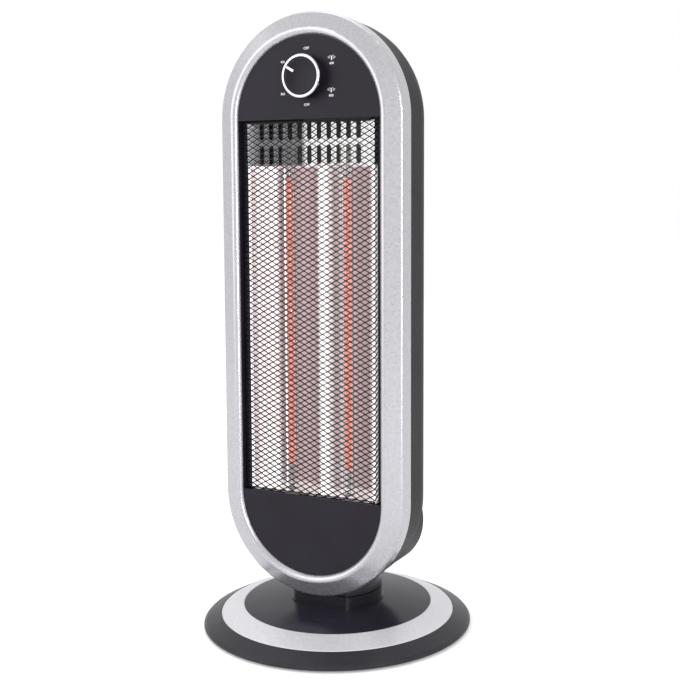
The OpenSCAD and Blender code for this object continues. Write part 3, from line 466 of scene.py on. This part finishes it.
def hem(bm):
    """The folded strip along the guard's top edge."""
    left, right = [[bm.verts.new(fold(u, v, HEM_THICK / 2)) for v in HEM_ROWS] +
                   [bm.verts.new(fold(u, v, -HEM_THICK / 2)) for v in reversed(HEM_ROWS)]
                   for u in (-HEM_END, HEM_END)]
    for k in range(len(left)):
        m = (k + 1) % len(left)
        bm.faces.new((left[k], left[m], right[m], right[k]))
    bm.faces.new(left)
    bm.faces.new(right)


def expanded_metal():
    nu = int((GUARD_X + SIDE) / PITCH_X) + 1
    nv = int((GUARD_Z + LIP) / PITCH_Z) + 1
    cells = [(i * PITCH_X, j * PITCH_Z) for i in range(-nu, nu + 1) for j in range(-nv, nv + 1)]
    cells += [((i + 0.5) * PITCH_X, (j + 0.5) * PITCH_Z)
              for i in range(-nu, nu) for j in range(-nv, nv)]
    bm = bmesh.new()
    for cu, cv in cells:
        beyond = abs(cu) > REACH_X or abs(cv) > REACH_Z
        corner = abs(cu) > CORNER_X and abs(cv) > CORNER_Z
        if not beyond and not corner:
            diamond(bm, cu, cv)
    bmesh.ops.remove_doubles(bm, verts=bm.verts, dist=MERGE)
    hem(bm)
    bmesh.ops.recalc_face_normals(bm, faces=bm.faces)
    return piece("guard_mesh", bm, finish["guard_black"], "head")


guard = expanded_metal()
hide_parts("mesh_guard")

# Glowing filaments: a wound carbon coil round a core, with a thin coiled lead at each end

COLD_BOTTOM = 0.034                     # the ends that don't glow
COLD_TOP = 0.021
COIL = dict(radius=0.0026, turns=110, per_turn=12)
COIL_WIRE = 0.00105
CORE_RADIUS = 0.0024
CORE_STEPS = 40
CORE_SIDES = 10
LEAD_RADIUS = 0.0021
LEAD_PITCH = 0.0024
LEAD_STEPS = 10                         # steps in a turn
LEAD_WIRE = 0.00042
LEAD_MARGIN = 0.001
WIRE_SIDES = 6
SMOOTH = 60                             # degrees


def helix(x, y, z0, z1, radius, turns, per_turn):
    """Points of an upright coil from z0 to z1."""
    steps = turns * per_turn
    return [Vector((x + radius * math.cos(2 * math.pi * i / per_turn),
                    y + radius * math.sin(2 * math.pi * i / per_turn),
                    z0 + (z1 - z0) * i / steps)) for i in range(steps + 1)]


def filament(name, node_name, glow_name):
    lo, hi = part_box(node_name)
    x, y = (lo.x + hi.x) / 2, (lo.y + hi.y) / 2
    glow_lo = lo.z + COLD_BOTTOM
    glow_hi = hi.z - COLD_TOP
    bm = bmesh.new()
    sweep(bm, helix(x, y, glow_lo, glow_hi, **COIL), COIL_WIRE, WIRE_SIDES)
    core = [Vector((x, y, glow_lo + (glow_hi - glow_lo) * i / CORE_STEPS))
            for i in range(CORE_STEPS + 1)]
    sweep(bm, core, CORE_RADIUS, CORE_SIDES)
    coil = piece(glow_name, bm, finish["carbon_glow"], "head", smooth=SMOOTH)
    bm = bmesh.new()
    for z0, z1 in ((lo.z + LEAD_MARGIN, glow_lo), (glow_hi, hi.z - LEAD_MARGIN)):
        turns = max(3, int((z1 - z0) / LEAD_PITCH))
        sweep(bm, helix(x, y, z0, z1, LEAD_RADIUS, turns, LEAD_STEPS), LEAD_WIRE, WIRE_SIDES)
    piece(name, bm, finish["lead_metal"], "head", smooth=SMOOTH)
    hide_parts(node_name)


filament("leads_left", "filament_left", "glow_left")
filament("leads_right", "filament_right", "glow_right")

# Dial print: words, numbers and swivel signs on the panel

PANEL_FRONT = -0.055
PRINT_Y = PANEL_FRONT - 0.00008
LETTER_SPACING = 1.02
LETTER_WEIGHT = 0.012                   # thickening, as a share of the letters' size
CURVE_STEPS = 6
LABELS = [                              # words, their place about the dial's centre and size
    ("OFF", 0.0, 0.0262, 0.0034), ("OFF", 0.0, -0.0258, 0.0034),
    ("400", -0.0258, 0.0148, 0.0031), ("800", -0.0258, -0.0150, 0.0031),
    ("400", 0.0268, 0.0112, 0.0031), ("800", 0.0262, -0.0182, 0.0031),
]
SIGNS = [(0.0268, 0.0166), (0.0262, -0.0128)]
SIGN_SIZE = 0.0028

knob_low, knob_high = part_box("knob_ring")
DIAL = Vector(((knob_low.x + knob_high.x) / 2, 0, (knob_low.z + knob_high.z) / 2))


def print_text(words, x, z, size):
    data = bpy.data.curves.new("print_text", "FONT")
    data.body = words
    data.size = size
    data.align_x = "CENTER"
    data.align_y = "CENTER"
    data.space_character = LETTER_SPACING
    data.offset = size * LETTER_WEIGHT
    data.resolution_u = CURVE_STEPS
    text = add_object("print_text", data)
    text.rotation_euler = (math.radians(90), 0, 0)
    text.location = (DIAL.x + x, PRINT_Y, DIAL.z + z)
    bpy.context.view_layer.update()
    shaped = text.evaluated_get(bpy.context.evaluated_depsgraph_get())
    mesh = bpy.data.meshes.new_from_object(shaped)
    mesh.transform(text.matrix_world)
    bpy.data.objects.remove(text)
    return mesh


def stroke(bm, points, width):
    """A flat line of the given width through points (x, z) about the dial's centre."""
    for (x0, z0), (x1, z1) in zip(points, points[1:]):
        length = math.hypot(x1 - x0, z1 - z0)
        nx, nz = -(z1 - z0) / length * width / 2, (x1 - x0) / length * width / 2
        ex, ez = (x1 - x0) / length * width / 3, (z1 - z0) / length * width / 3
        quad = [(x0 - ex + nx, z0 - ez + nz), (x0 - ex - nx, z0 - ez - nz),
                (x1 + ex - nx, z1 + ez - nz), (x1 + ex + nx, z1 + ez + nz)]
        bm.faces.new([bm.verts.new((DIAL.x + x, PRINT_Y, DIAL.z + z)) for x, z in quad])


def swivel_sign(bm, x, z, s):
    """A small upright heater between two curved arrows, drawn in units of s."""
    stroke(bm, [(x, z - 0.7 * s), (x, z + 0.35 * s)], 0.42 * s)
    for side in (-1, 1):
        arc = [(x + side * (0.45 + 0.75 * t) * s, z + (0.55 - 0.75 * t * t) * s)
               for t in (0, 0.25, 0.5, 0.75, 1)]
        stroke(bm, arc, 0.30 * s)
        tip = arc[-1]
        barb_in = (tip[0] - side * 0.42 * s, tip[1] + 0.02 * s)
        barb_out = (tip[0] + side * 0.05 * s, tip[1] + 0.45 * s)
        stroke(bm, [barb_in, tip, barb_out], 0.26 * s)


def dial_print():
    bm = bmesh.new()
    for words, x, z, size in LABELS:
        mesh = print_text(words, x, z, size)
        bm.from_mesh(mesh)
        bpy.data.meshes.remove(mesh)
    for x, z in SIGNS:
        swivel_sign(bm, x, z, SIGN_SIZE)
    bmesh.ops.recalc_face_normals(bm, faces=bm.faces)
    for face in bm.faces:
        if face.normal.y > 0:
            face.normal_flip()
    piece("dial_print", bm, finish["pointer_white"], "head")


dial_print()

# Floor, studio and lamps

FLOOR_HALF = 12
FLOOR_COLOUR = (0.80, 0.80, 0.81, 1)
FLOOR_GLOW = 0.22                       # brings the floor up to the background's white
FLOOR_BOUNCE = (0.62, 0.62, 0.64, 1)    # the floor as it lights matt surfaces
STUDIO_LIGHT = 1.5
# Brightness round the object, from its back over its left, front and right side to its back
AROUND = [
    (0.00, 0.25), (0.05, 0.50), (0.10, 1.05), (0.20, 0.90), (0.28, 0.74), (0.33, 0.76),
    (0.38, 1.08), (0.43, 1.06), (0.47, 0.66), (0.50, 0.55), (0.53, 0.80), (0.55, 1.05),
    (0.60, 1.20), (0.65, 1.15), (0.72, 0.85), (0.78, 0.42), (0.89, 0.50), (0.95, 0.35),
    (1.00, 0.25),
]
# Brightness from straight below, at 0, over the horizon, at 0.5, to straight above, at 1
UPWARD = [(0.44, 0.50), (0.50, 1.00), (0.59, 1.00), (0.68, 0.45), (0.745, 0.48), (0.79, 1.05),
          (1.00, 0.90)]
LAMPS = [                               # name, place, target, size and watts
    ("key", (-1.45, -1.6, 1.0), (0, 0, 0.3), (2.0, 1.8), 15),
    ("strip", (1.50, -1.30, 0.5), (0, 0, 0.35), (0.20, 1.6), 20),
    ("top", (-0.3, 0.3, 2.2), (0, 0, 0.3), (1.4, 1.4), 8),
]


def background_rays(tree):
    """1 for the rays that show the white background: camera, transmission and glossy rays."""
    path = node(tree, "ShaderNodeLightPath", {}).outputs
    straight = maths(tree, "MAXIMUM", path["Is Camera Ray"], path["Is Transmission Ray"])
    return maths(tree, "MAXIMUM", straight, path["Is Glossy Ray"])


def pale_floor():
    bm = bmesh.new()
    bmesh.ops.create_grid(bm, x_segments=1, y_segments=1, size=FLOOR_HALF)
    mesh = bpy.data.meshes.new("floor")
    bm.to_mesh(mesh)
    bm.free()
    floor = add_object("floor", mesh)
    mat, tree, bsdf = principled("floor")
    plug(tree, bsdf, {
        "Base Color": FLOOR_COLOUR,
        "Roughness": 1.0,
        "Specular IOR Level": 0.0,
    })
    glow = node(tree, "ShaderNodeEmission", {"Color": WHITE, "Strength": FLOOR_GLOW})
    shown = node(tree, "ShaderNodeAddShader", {
        0: bsdf.outputs["BSDF"],
        1: glow.outputs["Emission"],
    })
    plain = node(tree, "ShaderNodeBsdfDiffuse", {"Color": FLOOR_BOUNCE})
    mixer = node(tree, "ShaderNodeMixShader", {
        "Fac": background_rays(tree),
        1: plain.outputs["BSDF"],
        2: shown.outputs["Shader"],
    })
    plug(tree, tree.nodes["Material Output"], {"Surface": mixer.outputs["Shader"]})
    mesh.materials.append(mat)


def grey(stops):
    return [(position, (v, v, v)) for position, v in stops]


def studio():
    """A world that lights matt surfaces by a graded studio, and is white to the background rays."""
    world = bpy.data.worlds.new("studio")
    scene.world = world
    world.use_nodes = True
    tree = world.node_tree
    tree.nodes.clear()
    towards = axes(tree, coordinates(tree)["Generated"])
    angle = maths(tree, "ARCTAN2", towards["X"], maths(tree, "MULTIPLY", towards["Y"], -1.0))
    turn = map_range(tree, angle, source=(-math.pi, math.pi))
    height = map_range(tree, towards["Z"], source=(-1.0, 1.0))
    light = node(tree, "ShaderNodeVectorMath", {
        0: colour_ramp(tree, turn, grey(AROUND)),
        1: colour_ramp(tree, height, grey(UPWARD)),
    }, "MULTIPLY")
    graded = node(tree, "ShaderNodeBackground", {
        "Color": light.outputs["Vector"],
        "Strength": STUDIO_LIGHT,
    })
    white = node(tree, "ShaderNodeBackground", {"Color": WHITE, "Strength": 1.0})
    choose = node(tree, "ShaderNodeMixShader", {
        "Fac": background_rays(tree),
        1: graded.outputs["Background"],
        2: white.outputs["Background"],
    })
    node(tree, "ShaderNodeOutputWorld", {"Surface": choose.outputs["Shader"]})


def area_lamp(name, place, target, size, watts):
    data = bpy.data.lights.new(name, "AREA")
    data.shape = "RECTANGLE"
    data.size, data.size_y = size
    data.energy = watts
    lamp = add_object(name, data)
    lamp.visible_camera = False
    aim(lamp, place, target)


pale_floor()
studio()
for lamp in LAMPS:
    area_lamp(*lamp)
